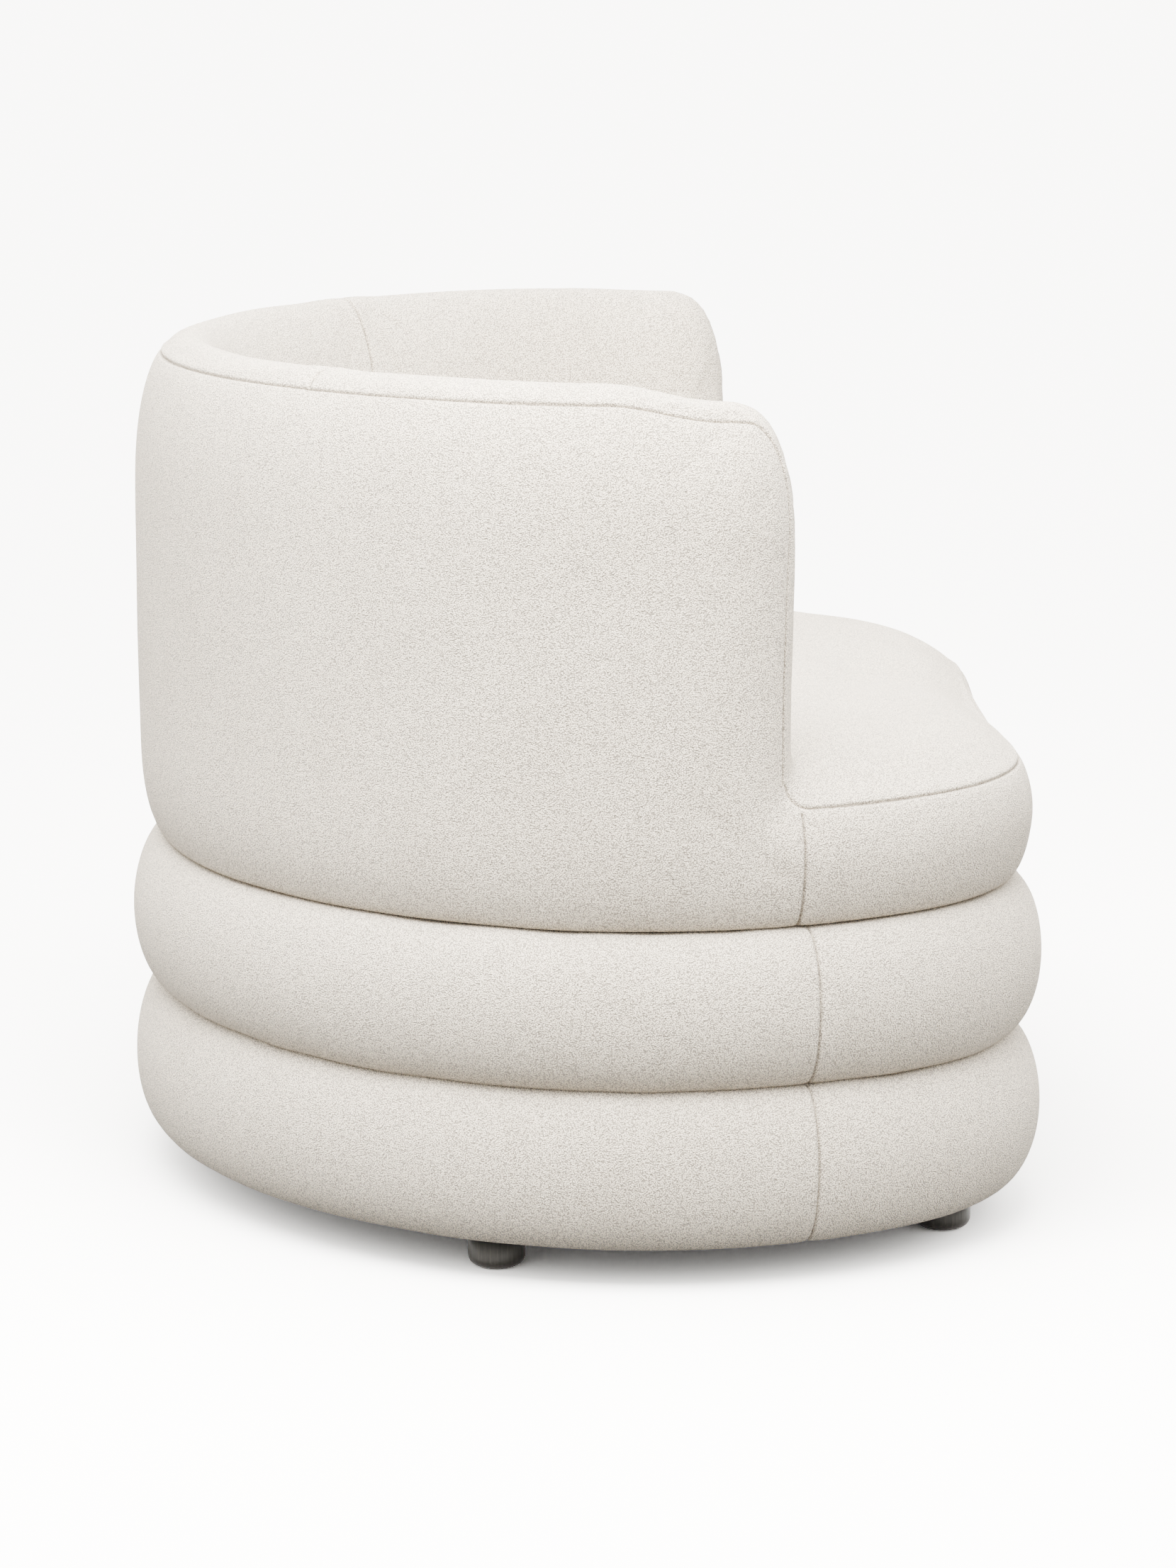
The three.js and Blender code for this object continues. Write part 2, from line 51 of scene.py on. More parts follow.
# The plan outline: tangent arcs from the middle of the back (0 degrees) to the front (180 degrees).
BACK_REACH = 0.388
ARCS = ((0.505, 60.8), (0.367, 131.3), (0.237, 184.0))
PANEL_SEAM = 109.6
BORDER_SEAM = 108.0
INNER_SEAM = 44.0
ARM_END = 98.5

# Heights above the floor.
BOTTOM_EDGE = 0.032
LOW_CREASE = 0.165
HIGH_CREASE = 0.297
SEAT_SEAM = 0.398
SEAT_RISE = 0.038
RIM_SPRING = 0.611
RIM_ROUND = 0.132

# Places measured outwards (+) or inwards (-) from the plan outline.
CREASE_DEPTH = -0.014
CREASE_ROUND = 0.080
ROLL_BULGE = 0.016
WALL_BULGE = 0.008
WALL_MIDDLE = -0.042
WALL_OUTER_HALF = 0.050
WALL_INNER_HALF = 0.046
WALL_FOOT_SPREAD = 0.016
WALL_FOOT_DROP = 0.190
SEAT_SEAM_PLACE = -0.004
SHOULDER_START = 0.345
CROWN_REACH = 0.120
CROWN_POWER = 3.2
VALLEY_DEPTH = 0.008
VALLEY_WIDTH = 0.075
VALLEY_START = 0.02
VALLEY_LENGTH = 0.22
ARM_NOSE = 0.0585
NOSE_POWER = 2.6
RIM_POWER = 2.3
CREST_FALL_RIGHT = 0.004
CREST_FALL_LEFT = 0.016
FALL_START = 0.01
FALL_LENGTH = 0.095
ROLL_BACK = -0.029

# The seams.
SEAM_PLACE = -0.017
NOSE_SEAM_SHIFT = 0.004
NOSE_SHIFT_ABOVE = 0.06
NOSE_SHIFT_FADE = 0.10
RIM_SEAM_MIDDLE = -0.044
RIM_SEAM_HALF = 0.052
SEAM_DEPTH = 0.0024
SEAM_WIDTH = 0.0013
SEAM_BANDS = (0.010, 0.006, 0.0035)
PULL_DEPTH = 0.0007
PULL_WIDTH = 0.008
SHADE_WIDTH = 0.0012
SEAM_FILLET = 0.014
FILLET_LIFT = 0.004
ARM_SEAM_AHEAD = 0.051

ROLL_GRID = 0.007
BODY_GRID = 0.006
BODY_VOXEL = 0.006

# The upper body's first levels, above the high crease, are close together.
FIRST_LEVELS = (0, 0.001, 0.003, 0.006, 0.010, 0.015)

# How the covers swell over their stuffing.
PRESSURE = 4.0
SWELL = 0.0018
HELD_BESIDE_SEAM = 0.006
CLOTH_FRAMES = 20

# The feet and the dust cover.
FOOT_RADIUS = 0.024
FOOT_EDGE = 0.009
FOOT_BOTTOM = 0.001
FOOT_TOP = 0.0352
GLIDE_RADIUS = 0.013
FOOT_COUNT = 5
FOOT_SIDES = 96
GLIDE_HEIGHT = 0.003
GLIDE_EDGE = 0.001
GLIDE_SIDES = 48
SHEET_EDGE = -0.0275
SHEET_HEIGHT = 0.0312
SHEET_HEM = 0.018
STAPLE_GAP = 0.045
STAPLE_HALF_WIRE = 0.0005

# The cloth: its loops and curls per metre, and the painted shade colour that seams multiply it by,
# standing for the shadow in the seam grooves.
LOOP_SCALE = 940.0
CURL_SCALE = 1500.0
SEAM_SHADE_COLOUR = (0.5, 0.475, 0.45, 1)

# The camera.
CAMERA_PLACE = (-4.2740, 0.1410, 1.1450)
CAMERA_HEADING = math.radians(-2.0)
CAMERA_PITCH = 0.1874
LENS = 110.58
SENSOR = 36.0
SHIFT = (0.0036, -0.0025)

# The lights. Each dome level is (height on the dome, share of its strength).
LIGHT_COLOUR = (1.0, 0.98, 0.95)
DOME_LEVELS = ((0.0, 0.05), (0.02, 0.05), (0.7, 1.0))
DOME_STRENGTH = 8.4
KEY_PLACE = (-0.95, 0.2, 1.75)
KEY_TARGET = (0, 0, 0.6)
KEY_SIZE = (1.5, 1.1)
KEY_POWER = 200
FLOOR_HALF = 150.0


# ---- The plan outline -----------------------------------------------------------------------------


def tangent_arcs():
    """Each arc as (radius, centre x, centre y, first angle, last angle)."""
    arcs = []
    x, y, start = 0.0, BACK_REACH, 0.0
    for radius, until in ARCS:
        cx = x - radius * math.sin(math.radians(start))
        cy = y - radius * math.cos(math.radians(start))
        x = cx + radius * math.sin(math.radians(until))
        y = cy + radius * math.cos(math.radians(until))
        arcs.append((radius, cx, cy, start, until))
        start = until
    return arcs


OUTLINE = tangent_arcs()
LAST = OUTLINE[-1]
PLAN_SHIFT = (LAST[0] - LAST[2] - BACK_REACH) / 2


def arc_stations(angles):
    """Stations at outline angles: their points and outward normals in plan, one row each."""
    angles = np.asarray(angles, float)
    side = np.where(angles < 0, -1.0, 1.0)
    turn = np.abs(angles)
    points = np.zeros((len(angles), 2))
    for radius, cx, cy, start, until in OUTLINE:
        here = (turn >= start - 1e-9) & (turn <= until + 1e-9)
        rad = np.radians(turn[here])
        points[here, 0] = side[here] * (cx + radius * np.sin(rad))
        points[here, 1] = cy + radius * np.cos(rad) + PLAN_SHIFT
    rad = np.radians(angles)
    return points, np.stack([np.sin(rad), np.cos(rad)], 1)


def hollow_stations(shares):
    """Stations across the shallow hollow in the front, from share 1 (right) to -1 (left)."""
    corner = arc_stations([LAST[4]])[0][0]
    half_turn = math.radians(LAST[4] - 180)
    radius = corner[0] / math.sin(half_turn)
    centre_y = corner[1] - radius * math.cos(half_turn)
    turn = np.asarray(shares, float) * half_turn
    way = np.stack([np.sin(turn), np.cos(turn)], 1)
    return way * radius + np.array([0, centre_y]), -way


def joined(*parts):
    return tuple(np.concatenate([part[k] for part in parts]) for k in (0, 1))


def even_angles(start, end, step):
    """Angles about step apart along the outline."""
    mean_radius = 0.40
    count = max(2, int(abs(math.radians(end - start)) * mean_radius / step) + 1)
    return np.linspace(start, end, count)


def loop_stations(step):
    """All round the outline, clockwise seen from above, without repeating the first station."""
    across = np.linspace(1, -1, int(2 * arc_stations([LAST[4]])[0][0][0] / step) + 2)[1:-1]
    return joined(arc_stations(even_angles(-LAST[4], LAST[4], step)), hollow_stations(across))


def along(stations, offset, z):
    """3-D points at an offset and a height; both may vary from station to station."""
    points, normals = stations
    offset = np.broadcast_to(np.asarray(offset, float), len(points))
    xy = points + normals * offset[:, None]
    return np.column_stack([xy, np.broadcast_to(np.asarray(z, float), len(points))])


def smooth_step(x):
    x = np.clip(x, 0, 1)
    return x * x * (3 - 2 * x)


# ---- Mesh helpers ---------------------------------------------------------------------------------


def new_object(name, points, faces):
    mesh = bpy.data.meshes.new(name)
    mesh.from_pydata([tuple(p) for p in np.asarray(points, float)], [], [tuple(f) for f in faces])
    mesh.update()
    obj = bpy.data.objects.new(name, mesh)
    bpy.context.scene.collection.objects.link(obj)
    return obj


def ring_grid(rows, count, closed_rows):
    """Quads between rows of count points each; every row is a closed loop."""
    faces = []
    bands = rows if closed_rows else rows - 1
    for i in range(bands):
        a, b = i * count, ((i + 1) % rows) * count
        for k in range(count):
            n = (k + 1) % count
            faces.append((a + k, a + n, b + n, b + k))
    return faces


def turned_out(obj):
    """Makes all faces of a closed mesh look outwards."""
    bm = bmesh.new()
    bm.from_mesh(obj.data)
    bmesh.ops.remove_doubles(bm, verts=bm.verts, dist=1e-5)
    bmesh.ops.recalc_face_normals(bm, faces=bm.faces)
    bm.to_mesh(obj.data)
    bm.free()


def positions(obj):
    flat = np.empty(len(obj.data.vertices) * 3)
    obj.data.vertices.foreach_get("co", flat)
    return flat.reshape(-1, 3)


def normals(obj):
    flat = np.empty(len(obj.data.vertices) * 3)
    obj.data.vertices.foreach_get("normal", flat)
    return flat.reshape(-1, 3)


def move_to(obj, points):
    obj.data.vertices.foreach_set("co", np.asarray(points, float).ravel())
    obj.data.update()


def applied(obj, modifier):
    """Replaces the object's mesh with the modified one and removes the modifier."""
    depsgraph = bpy.context.evaluated_depsgraph_get()
    shaped = bpy.data.meshes.new_from_object(obj.evaluated_get(depsgraph))
    obj.modifiers.remove(modifier)
    old = obj.data
    obj.data = shaped
    bpy.data.meshes.remove(old)


def remeshed(obj, voxel):
    modifier = obj.modifiers.new("Remesh", "REMESH")
    modifier.mode = "VOXEL"
    modifier.voxel_size = voxel
    applied(obj, modifier)


def smoothed(obj, times, factor=0.5):
    modifier = obj.modifiers.new("Smooth", "SMOOTH")
    modifier.iterations = times
    modifier.factor = factor
    applied(obj, modifier)


def shade_smooth(obj):
    obj.data.polygons.foreach_set("use_smooth", [True] * len(obj.data.polygons))


def puffed(obj, held, pressure, cap):
    """Lets the cover swell with Cloth under pressure, held at some points, each moving cap at most."""
    start = positions(obj)
    group = obj.vertex_groups.new(name="held")
    group.add(np.flatnonzero(held).tolist(), 1.0, "REPLACE")
    cloth = obj.modifiers.new("Cloth", "CLOTH")
    cloth.settings.quality = 2
    cloth.settings.mass = 0.4
    cloth.settings.tension_stiffness = 8
    cloth.settings.compression_stiffness = 6
    cloth.settings.bending_stiffness = 1
    cloth.settings.use_pressure = True
    cloth.settings.uniform_pressure_force = pressure
    cloth.settings.vertex_group_mass = "held"
    cloth.settings.effector_weights.gravity = 0
    scene = bpy.context.scene
    for step in range(1, CLOTH_FRAMES + 1):
        scene.frame_set(step)
    shaped = obj.evaluated_get(bpy.context.evaluated_depsgraph_get())
    shift = positions(shaped) - start
    length = np.linalg.norm(shift, axis=1, keepdims=True)
    move_to(obj, start + shift * np.minimum(1, cap / np.maximum(length, 1e-9)))
    obj.modifiers.remove(cloth)
    obj.vertex_groups.remove(group)
    scene.frame_set(1)


# ---- Seams ----------------------------------------------------------------------------------------


def spaced(line, step=0.001):
    """A polyline with points step apart."""
    line = np.asarray(line, float)
    lengths = np.r_[0, np.cumsum(np.linalg.norm(np.diff(line, axis=0), axis=1))]
    at = np.linspace(0, lengths[-1], max(2, int(lengths[-1] / step)))
    return np.column_stack([np.interp(at, lengths, line[:, k]) for k in range(3)])


def on_surface(obj, line):
    """A line's points moved to the nearest place on a mesh."""
    tree = BVHTree.FromPolygons(
        [tuple(p) for p in positions(obj)], [tuple(p.vertices) for p in obj.data.polygons]
    )
    return np.array([tree.find_nearest(Vector(p))[0] for p in line])


def seam_tree(points):
    tree = KDTree(len(points))
    for i, p in enumerate(points):
        tree.insert(p, i)
    tree.balance()
    return tree


def cell_keys(points, size):
    """One whole number for the cubic cell of a size that each point lies in."""
    cells = np.floor(np.asarray(points) / size).astype(np.int64) + 500
    return (cells[:, 0] * 1000 + cells[:, 1]) * 1000 + cells[:, 2]


def distances(tree, line, points, reach):
    """How far each point is from the nearest seam, or reach where that is further."""
    steps = np.array([(i, j, k) for i in (-1, 0, 1) for j in (-1, 0, 1) for k in (-1, 0, 1)]) * reach
    close = np.unique(np.concatenate([cell_keys(line + step, reach) for step in steps]))
    found = np.full(len(points), reach)
    for i in np.flatnonzero(np.isin(cell_keys(points, reach), close)):
        found[i] = min(reach, tree.find(points[i])[2])
    return found


def beside(lines, points, reach):
    """Which points lie within reach of any of the lines."""
    line = np.concatenate([spaced(line) for line in lines])
    return distances(seam_tree(line), line, points, reach * 2) < reach


def sewn(obj, lines):
    """Refines a cover along its seams and draws it in there, in a narrow groove with soft shoulders, and
    keeps a painted shade for the groove as the seam_shade attribute.
    """
    line = np.concatenate([spaced(line) for line in lines])
    tree = seam_tree(line)
    bm = bmesh.new()
    bm.from_mesh(obj.data)
    for band in SEAM_BANDS:
        points = np.array([v.co for v in bm.verts])
        near = distances(tree, line, points, band * 2) < band
        edges = [e for e in bm.edges if near[e.verts[0].index] and near[e.verts[1].index]]
        bmesh.ops.subdivide_edges(bm, edges=edges, cuts=1, use_grid_fill=True)
        bm.verts.index_update()
    bm.normal_update()
    bm.to_mesh(obj.data)
    bm.free()
    points = positions(obj)
    away = distances(tree, line, points, PULL_WIDTH * 2.5)
    depth = SEAM_DEPTH * np.exp(-((away / SEAM_WIDTH) ** 2))
    depth += PULL_DEPTH * np.exp(-((away / PULL_WIDTH) ** 2))
    move_to(obj, points - normals(obj) * depth[:, None])
    # Painted shade of the seam groove: strongest on the seam line and fading within about SHADE_WIDTH of
    # it.
    shade = obj.data.attributes.new("seam_shade", "FLOAT", "POINT")
    shade.data.foreach_set("value", np.exp(-((away / SHADE_WIDTH) ** 2)))


def uneven(obj, height, size, seed):
    """Slow, slight unevenness of the stuffing under a cover."""
    points = positions(obj)
    shift = Vector((seed, seed * 1.7, seed * 0.6))
    lift = np.array([noise.noise(Vector(p) / size + shift) for p in points]) * height
    move_to(obj, points + normals(obj) * lift[:, None])


# ---- Rolls ----------------------------------------------------------------------------------------


def crease_wander(stations, seed):
    """How far up or down a crease strays along its way, a fraction of a millimetre."""
    points = stations[0]
    return np.array([
        noise.noise(Vector((p[0] / 0.05, p[1] / 0.05, seed))) * 0.0012
        + noise.noise(Vector((p[0] / 0.16, p[1] / 0.16, seed + 7))) * 0.0016
        for p in points
    ])


def roll(name, bottom, top, bottom_seed, top_seed):
    """One stuffed roll round the whole chair, half elliptical outside and flat against the frame."""
    stations = loop_stations(ROLL_GRID)
    low = bottom + (crease_wander(stations, bottom_seed) if bottom_seed else 0)
    high = top + crease_wander(stations, top_seed)
    middle, half = (low + high) / 2, (high - low) / 2
    steps = 34
    rows = []
    for k in range(steps + 1):
        turn = (k / steps - 0.5) * math.pi
        offset = CREASE_DEPTH + (ROLL_BULGE - CREASE_DEPTH) * math.cos(turn)
        rows.append(along(stations, offset, middle + half * math.sin(turn)))
    for share in (0.5, 1.0):
        rows.append(along(stations, CREASE_DEPTH + (ROLL_BACK - CREASE_DEPTH) * share, high))
    for share in np.linspace(0, 1, 7)[1:]:
        rows.append(along(stations, ROLL_BACK, high + (low - high) * share))
    rows.append(along(stations, (CREASE_DEPTH + ROLL_BACK) / 2, low))
    count = len(stations[0])
    obj = new_object(name, np.concatenate(rows), ring_grid(len(rows), count, True))
    turned_out(obj)
    held = np.arange(len(rows) * count) // count
    return obj, (held < 2) | (held > steps - 2)


def roll_seams(bottom, top):
    """The two upright seams between a roll's front and rear covers."""
    lines = []
    turns = np.linspace(-0.5, 0.5, 60) * math.pi
    middle, half = (bottom + top) / 2, (top - bottom) / 2
    for side in (1, -1):
        station = arc_stations([side * PANEL_SEAM])
        lines.append(np.concatenate([
            along(
                station,
                CREASE_DEPTH + (ROLL_BULGE - CREASE_DEPTH) * math.cos(turn),
                middle + half * math.sin(turn),
            )
            for turn in turns
        ]))
    return lines


# ---- The upper body -------------------------------------------------------------------------------


def upper_side(z):
    """How far out the upper body's side is at a height, rounding out from the high crease."""
    share = np.clip((z - HIGH_CREASE) / CREASE_ROUND, 0, 1)
    return CREASE_DEPTH + (WALL_BULGE - CREASE_DEPTH) * np.sqrt(1 - (1 - share) ** 2)


def rounded(turn, power):
    """What is left of a width at a turn over the rim; power 2 is an ellipse, more is squarer."""
    return max(0, 1 - math.sin(turn) ** power) ** (1 / power)


def wall_section(z, turn):
    """The wall's outer and inner offsets and its nose length, at a height and turn over the rim."""
    spread = WALL_FOOT_SPREAD * np.clip((RIM_SPRING - z) / WALL_FOOT_DROP, 0, 1)
    outer = WALL_MIDDLE + min(upper_side(z) - WALL_MIDDLE, WALL_OUTER_HALF) * rounded(turn, RIM_POWER)
    inner = WALL_MIDDLE - (WALL_INNER_HALF + spread) * math.cos(turn)
    nose = ARM_NOSE * rounded(turn, NOSE_POWER)
    return outer, inner, nose


def nose_points(side, across, ahead, z):
    """Points ahead of an arm's end, at an offset from the outline."""
    base = along(arc_stations([side * ARM_END] * len(across)), across, z)
    rad = math.radians(ARM_END)
    base[:, 0] += side * ahead * math.cos(rad)
    base[:, 1] -= ahead * math.sin(rad)
    return base


def fallen(points):
    """Lets the crest of the wall fall towards the arm ends, a little more on the left."""
    share = smooth_step((-points[:, 1] - FALL_START) / FALL_LENGTH)
    over_rim = np.clip((points[:, 2] - RIM_SPRING) / RIM_ROUND, 0, 1)
    fall = np.where(points[:, 0] > 0, CREST_FALL_RIGHT, CREST_FALL_LEFT)
    points[:, 2] -= fall * share * over_rim
    return points


def wall_level(z, turn):
    outer, inner, nose = wall_section(z, turn)
    stations = arc_stations(even_angles(-ARM_END, ARM_END, BODY_GRID))
    turns = np.linspace(0, math.pi, 26)[1:-1]
    across = (outer + inner) / 2 + (outer - inner) / 2 * np.cos(turns)
    ahead = nose * np.sin(turns)
    back = tuple(part[::-1] for part in stations)
    return fallen(np.concatenate([
        along(stations, outer, z),
        nose_points(1, across, ahead, z),
        along(back, inner, z),
        nose_points(-1, across[::-1], ahead[::-1], z),
    ]))


def stacked(name, levels):
    """Level loops joined upwards, closed by a face under the first and over the last."""
    count = len(levels[0])
    faces = ring_grid(len(levels), count, False)
    faces.append(tuple(range(count))[::-1])
    last = (len(levels) - 1) * count
    faces.append(tuple(range(last, last + count)))
    obj = new_object(name, np.concatenate(levels), faces)
    turned_out(obj)
    return obj


def wall():
    heights = np.concatenate([
        HIGH_CREASE + np.array(FIRST_LEVELS),
        np.arange(HIGH_CREASE + 0.021, RIM_SPRING, 0.007),
    ])
    levels = [wall_level(z, 0) for z in heights]
    for turn in np.radians(np.linspace(0, 89, 36)):
        levels.append(wall_level(RIM_SPRING + RIM_ROUND * math.sin(turn), turn))
    return stacked("wall", levels)


def seat_stations():
    """Round the seat: hidden in the wall beside and behind the sitter, the chair's outline in front."""
    arms = arc_stations(even_angles(-ARM_END, ARM_END, BODY_GRID))
    right = arc_stations(even_angles(ARM_END + 1, LAST[4], BODY_GRID))
    left = arc_stations(even_angles(-LAST[4], -ARM_END - 1, BODY_GRID))
    across = np.linspace(1, -1, 80)[1:-1]
    return joined(arms, right, hollow_stations(across), left), len(arms[0])


def seat():
    stations, hidden_count = seat_stations()
    hidden = (WALL_MIDDLE + CREASE_DEPTH) / 2
    sides = np.concatenate([
        HIGH_CREASE + np.array(FIRST_LEVELS),
        np.arange(HIGH_CREASE + 0.021, SEAT_SEAM - 0.004, 0.006),
        [SEAT_SEAM],
    ])
    levels = []
    for z in sides:
        shoulder = np.clip((z - SHOULDER_START) / (SEAT_SEAM - SHOULDER_START), 0, 1)
        offset = upper_side(z) - (WALL_BULGE - SEAT_SEAM_PLACE) * shoulder ** 2
        levels.append((offset, z))
    for reach in np.linspace(0, 1, 30)[1:] ** 1.3 * CROWN_REACH * 0.98:
        rise = SEAT_RISE * (1 - (1 - reach / CROWN_REACH) ** CROWN_POWER)
        levels.append((SEAT_SEAM_PLACE - reach, SEAT_SEAM + rise))
    rows = []
    for offset, z in levels:
        offsets = np.full(len(stations[0]), offset)
        offsets[:hidden_count] = np.minimum(offset, hidden)
        rows.append(along(stations, offsets, z))
    obj = stacked("seat", rows)
    points = positions(obj)
    over = np.clip((points[:, 2] - SEAT_SEAM) / SEAT_RISE, 0, 1)
    forward = smooth_step((-points[:, 1] - VALLEY_START) / VALLEY_LENGTH)
    valley = np.exp(-((points[:, 0] / VALLEY_WIDTH) ** 2)) * forward
    points[:, 2] -= VALLEY_DEPTH * valley * np.minimum(1, over * 4)
    move_to(obj, points)
    return obj


def rim_seam():
    """From the middle of one arm's front, up over its corner, round the back and down the other."""
    start_turn = math.acos((SEAM_PLACE - RIM_SEAM_MIDDLE) / RIM_SEAM_HALF)
    half = []
    for z in np.linspace(SEAT_SEAM + SEAM_FILLET + FILLET_LIFT, RIM_SPRING, 60):
        half.append((z, 0.0))
    for turn in np.linspace(0, start_turn, 60)[1:]:
        half.append((RIM_SPRING + RIM_ROUND * math.sin(turn), turn))
    ends = {}
    for side in (1, -1):
        line = []
        for z, turn in half:
            outer, inner, nose = wall_section(z, turn)
            lower = smooth_step((RIM_SPRING + NOSE_SHIFT_ABOVE - z) / NOSE_SHIFT_FADE)
            place = SEAM_PLACE + NOSE_SEAM_SHIFT * lower
            share = (place - (outer + inner) / 2) / ((outer - inner) / 2)
            ahead = nose * math.sqrt(max(0, 1 - share**2))
            line.append(nose_points(side, np.array([place]), ahead, z)[0])
        ends[side] = np.array(line)
    over = along(arc_stations(even_angles(-ARM_END, ARM_END, 0.003)), SEAM_PLACE, half[-1][0])
    return fallen(np.concatenate([ends[-1], over[1:-1], ends[1][::-1]]))


def seat_seam():
    """Along the front of the seat, with a fillet up into each arm's seam."""
    stations = joined(
        arc_stations(even_angles(PANEL_SEAM, LAST[4], 0.003)),
        hollow_stations(np.linspace(1, -1, 160)[1:-1]),
        arc_stations(even_angles(-LAST[4], -PANEL_SEAM, 0.003)),
    )
    front = along(stations, SEAT_SEAM_PLACE, SEAT_SEAM)
    lines = [front]
    for side, end in ((1, front[0]), (-1, front[-1])):
        place = SEAM_PLACE + NOSE_SEAM_SHIFT
        top = SEAT_SEAM + SEAM_FILLET + FILLET_LIFT
        start = nose_points(side, np.array([place]), ARM_SEAM_AHEAD, top)[0]
        corner = nose_points(side, np.array([place + 0.004]), ARM_SEAM_AHEAD + 0.001, SEAT_SEAM)[0]
        t = np.linspace(0, 1, 40)[:, None]
        lines.append((1 - t) ** 2 * start + 2 * t * (1 - t) * corner + t**2 * end)
    return lines


def border_seams():
    """The upright seams ahead of the arms, below the seat seam."""
    lines = []
    for side in (1, -1):
        z = np.linspace(HIGH_CREASE, SEAT_SEAM, 60)
        station = arc_stations([side * BORDER_SEAM] * len(z))
        lines.append(along(station, upper_side(z), z))
    return lines


def inner_seams():
    """The upright seams inside the back, from the rim seam over the crest and down to the seat."""
    lines = []
    for side in (1, -1):
        line = []
        for turn in np.radians(np.linspace(58, 180, 90)):
            half = WALL_OUTER_HALF if turn < math.pi / 2 else WALL_INNER_HALF
            line.append((WALL_MIDDLE + half * math.cos(turn), RIM_SPRING + RIM_ROUND * math.sin(turn)))
        for z in np.linspace(RIM_SPRING, SEAT_SEAM + SEAT_RISE, 40)[1:]:
            line.append((wall_section(z, 0)[1], z))
        station = arc_stations([side * INNER_SEAM] * len(line))
        line = np.array(line)
        lines.append(along(station, line[:, 0], line[:, 1]))
    return lines


def tuck_line():
    """Where the seat is tucked in against the inside of the back and arms."""
    z = SEAT_SEAM + SEAT_RISE
    return along(arc_stations(even_angles(-ARM_END, ARM_END, 0.003)), wall_section(z, 0)[1] - 0.001, z)


def upper_body():
    """The wall and the seat grown together into one upholstered body, softened where they meet."""
    obj = wall()
    other = seat()
    bm = bmesh.new()
    bm.from_mesh(obj.data)
    bm.from_mesh(other.data)
    bm.to_mesh(obj.data)
    bm.free()
    bpy.data.objects.remove(other)
    obj.name = "back_arms_and_seat"
    remeshed(obj, BODY_VOXEL)
    smoothed(obj, 6)
    return obj


# ---- Turned parts and small parts -----------------------------------------------------------------


def lathe(name, profile, centre, sides=64):
    """A turned shape standing at a place, from (radius, height) points that end on the axis."""
    inner = profile[1:-1]
    turns = np.linspace(0, 2 * math.pi, sides, endpoint=False)
    points = [(centre[0], centre[1], profile[0][1])]
    for radius, z in inner:
        for turn in turns:
            points.append((centre[0] + radius * math.cos(turn), centre[1] + radius * math.sin(turn), z))
    points.append((centre[0], centre[1], profile[-1][1]))
    faces = [tuple(f) for f in np.array(ring_grid(len(inner), sides, False)) + 1]
    last = 1 + (len(inner) - 1) * sides
    for k in range(sides):
        n = (k + 1) % sides
        faces.append((0, 1 + n, 1 + k))
        faces.append((len(points) - 1, last + k, last + n))
    obj = new_object(name, points, faces)
    turned_out(obj)
    shade_smooth(obj)
    return obj


def quarter(radius, z, size, start, end, steps=8):
    """Points of a rounded edge, turning from start to end degrees about (radius, z)."""
    turns = np.radians(np.linspace(start, end, steps))
    return [(radius + size * math.cos(t), z + size * math.sin(t)) for t in turns]


def node_middle(node):
    low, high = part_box(node)
    return (low[0] + high[0]) / 2, (low[1] + high[1]) / 2


# ---- Materials ------------------------------------------------------------------------------------


class Nodes:
    """A new material's node tree, with short ways to add and join nodes."""

    def __init__(self, name):
        self.material = bpy.data.materials.new(name)
        self.material.use_nodes = True
        self.tree = self.material.node_tree
        self.shader = self.tree.nodes["Principled BSDF"]
        self.place = self.tree.nodes.new("ShaderNodeTexCoord").outputs["Object"]

    def add(self, kind, values=(), **links):
        node = self.tree.nodes.new(kind)
        for key, value in dict(values).items():
            if key in node.inputs:
                node.inputs[key].default_value = value
            else:
                setattr(node, key, value)
        for key, socket in links.items():
            self.tree.links.new(socket, node.inputs[key.replace("_", " ")])
        return node

    def link(self, socket, name):
        self.tree.links.new(socket, self.shader.inputs[name])

    def set(self, **values):
        for key, value in values.items():
            self.shader.inputs[key.replace("_", " ")].default_value = value

    def noise(self, scale, detail=2.0, roughness=0.5, vector=None):
        values = {"Scale": scale, "Detail": detail, "Roughness": roughness}
        return self.add("ShaderNodeTexNoise", values, Vector=vector or self.place)

    def ramp(self, factor, *stops):
        node = self.add("ShaderNodeValToRGB", Fac=factor)
        elements = node.color_ramp.elements
        for k, (at, colour) in enumerate(stops):
            element = elements[k] if k < len(elements) else elements.new(at)
            element.position = at
            element.color = (*colour, 1)
        return node.outputs["Color"]

    def mixed(self, blend, factor, a, b):
        node = self.add("ShaderNodeMix", {"data_type": "RGBA", "blend_type": blend})
        colour_sockets = [i for i in node.inputs if i.type == "RGBA"]
        for socket, value in zip((node.inputs["Factor"], *colour_sockets), (factor, a, b)):
            if isinstance(value, bpy.types.NodeSocket):
                self.tree.links.new(value, socket)
            else:
                socket.default_value = value
        return next(o for o in node.outputs if o.type == "RGBA")

    def maths(self, operation, a, b):
        node = self.add("ShaderNodeMath", {"operation": operation})
        for k, value in enumerate((a, b)):
            if isinstance(value, (int, float)):
                node.inputs[k].default_value = value
            else:
                self.tree.links.new(value, node.inputs[k])
        return node.outputs[0]

    def bump(self, height, distance, strength=1.0, normal=None):
        node = self.add("ShaderNodeBump", {"Distance": distance, "Strength": strength}, Height=height)
        if normal:
            self.tree.links.new(normal, node.inputs["Normal"])
        return node.outputs["Normal"]


